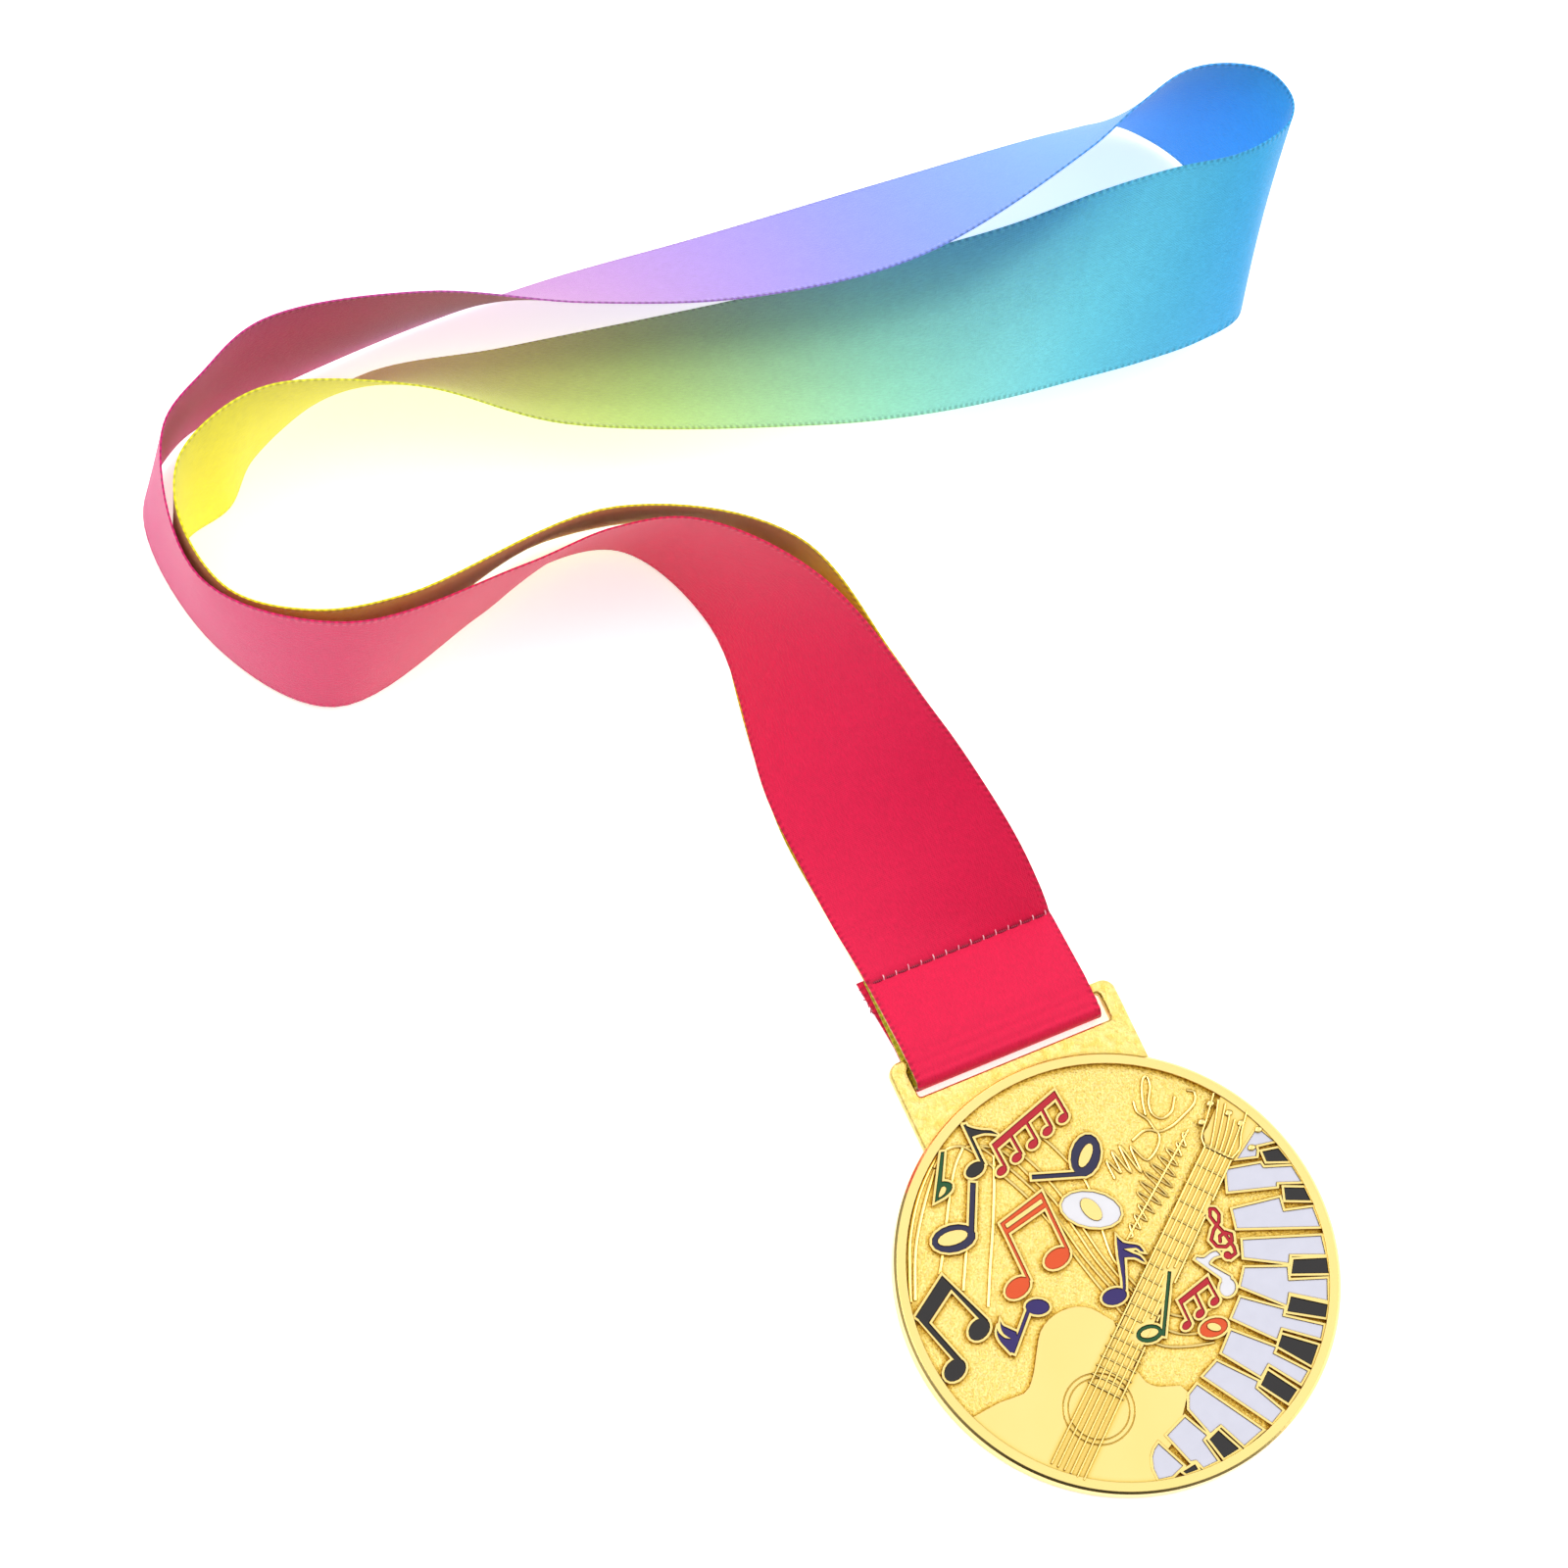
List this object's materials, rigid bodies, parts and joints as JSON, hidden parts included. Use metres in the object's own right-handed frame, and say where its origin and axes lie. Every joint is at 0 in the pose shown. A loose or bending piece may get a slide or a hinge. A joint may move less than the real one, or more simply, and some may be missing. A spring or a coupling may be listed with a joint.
{
  "type": "neck medal with ribbon",
  "caption": "Round gold medal with raised music symbols, piano keys and a guitar in coloured enamel, on a rainbow satin neck ribbon that hangs from a slotted bar.",
  "frame": {"origin": "centre of the medal's back face, which lies on the table", "axes": "+Z out of the medal's face, +Y from the disc towards the hanger and ribbon, +X to the right when the face is read"},
  "size_m": [0.196, 0.2199, 0.0342],
  "materials": {
    "gold_plate": "gold-plated die-cast metal, polished raised parts on a fine sandblasted ground",
    "enamel_black": "glossy soft enamel",
    "enamel_red": "glossy soft enamel",
    "enamel_green": "glossy soft enamel",
    "enamel_slate": "glossy soft enamel",
    "enamel_white": "glossy soft enamel",
    "enamel_orange": "glossy soft enamel",
    "enamel_purple": "glossy soft enamel",
    "enamel_pearl": "glossy soft enamel",
    "ribbon_satin": "printed satin weave, a rainbow from red through pink, violet, blue and green to yellow",
    "thread": "machine stitches"
  },
  "bodies": {
    "ribbon": {"ribbon": "ribbon_satin", "seam_stitching": "thread"},
    "medal": {"medal_body": "gold_plate", "note_black_eighth": "enamel_black", "note_red_five": "enamel_red", "note_green_flat": "enamel_green", "note_slate_half": "enamel_slate", "note_slate_tilted_half": "enamel_slate", "note_white_whole": "enamel_white", "note_orange_pair": "enamel_orange", "note_black_pair": "enamel_black", "note_purple_left": "enamel_purple", "note_purple_middle": "enamel_purple", "note_green_half": "enamel_green", "note_red_three": "enamel_red", "note_orange_whole": "enamel_orange", "note_white_sixteenth": "enamel_white", "note_red_clef": "enamel_red", "key_white_1": "enamel_pearl", "key_white_2": "enamel_pearl", "key_white_3": "enamel_pearl", "key_white_4": "enamel_pearl", "key_white_5": "enamel_pearl", "key_white_6": "enamel_pearl", "key_white_7": "enamel_pearl", "key_white_8": "enamel_pearl", "key_white_9": "enamel_pearl", "key_white_10": "enamel_pearl", "key_white_11": "enamel_pearl", "key_black_1": "enamel_black", "key_black_2": "enamel_black", "key_black_3": "enamel_black", "key_black_4": "enamel_black", "key_black_5": "enamel_black", "key_black_6": "enamel_black", "key_black_7": "enamel_black", "key_black_8": "enamel_black"}
  },
  "joints": [
    {"name": "hanger_swing", "type": "hinge", "parent": "ribbon", "child": "medal", "pos_m": [0, 0.04245, 0.0019], "axis": [-1, 0, 0], "range_deg": [-135, 150]}
  ]
}
